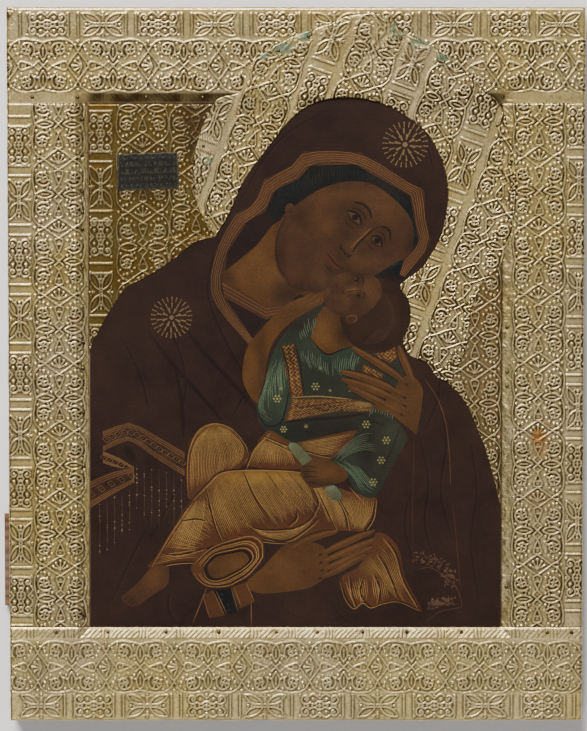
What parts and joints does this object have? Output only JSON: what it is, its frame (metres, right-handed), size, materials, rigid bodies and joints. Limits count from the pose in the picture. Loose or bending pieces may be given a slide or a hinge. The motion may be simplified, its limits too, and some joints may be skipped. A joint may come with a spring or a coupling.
{
  "type": "icon panel",
  "caption": "Flat wooden picture panel with a sunk painted field, dressed with nailed embossed sheet metal, and tapered battens let into its back.",
  "frame": {"origin": "centre of the outline, on the plane that the back battens rest on", "axes": "+X to the picture's right, +Y to the picture's top, +Z out of the picture"},
  "size_m": [0.718, 0.8796, 0.0433],
  "materials": {
    "board_wood": "old bare softwood board, darkened and rubbed",
    "batten_wood": "dark brown bare wood",
    "picture": "egg tempera on a thin chalk ground over the board, under old dark varnish",
    "gilt_sheet": "thin embossed sheet, pale worn gilding over silvery metal",
    "worn_gilt_sheet": "thin embossed sheet, brown tarnished gilding",
    "blackened_plate": "small blackened plate, matt",
    "nail_metal": "small tarnished nail heads"
  },
  "bodies": {
    "root": {"wood_panel": "board_wood", "batten_upper": "batten_wood", "batten_lower": "batten_wood", "painted_ground": "picture", "border_top": "gilt_sheet", "border_bottom": "gilt_sheet", "border_left": "gilt_sheet", "border_right": "gilt_sheet", "background_left": "worn_gilt_sheet", "background_right": "worn_gilt_sheet", "halo": "gilt_sheet", "title_plaque": "blackened_plate", "nail_01": "nail_metal", "nail_02": "nail_metal", "nail_03": "nail_metal", "nail_04": "nail_metal", "nail_05": "nail_metal", "nail_06": "nail_metal", "nail_07": "nail_metal", "nail_08": "nail_metal", "nail_09": "nail_metal", "nail_10": "nail_metal", "nail_11": "nail_metal", "nail_12": "nail_metal", "nail_13": "nail_metal", "nail_14": "nail_metal", "nail_15": "nail_metal", "nail_16": "nail_metal", "nail_17": "nail_metal", "nail_18": "nail_metal", "nail_19": "nail_metal", "nail_20": "nail_metal", "nail_21": "nail_metal", "nail_22": "nail_metal", "nail_23": "nail_metal", "nail_24": "nail_metal", "nail_25": "nail_metal", "nail_26": "nail_metal", "nail_27": "nail_metal", "nail_28": "nail_metal", "nail_29": "nail_metal", "nail_30": "nail_metal", "nail_31": "nail_metal", "nail_32": "nail_metal", "nail_33": "nail_metal", "nail_34": "nail_metal", "nail_35": "nail_metal", "nail_36": "nail_metal", "nail_37": "nail_metal", "nail_38": "nail_metal", "nail_39": "nail_metal", "nail_40": "nail_metal", "nail_41": "nail_metal"}
  },
  "joints": []
}
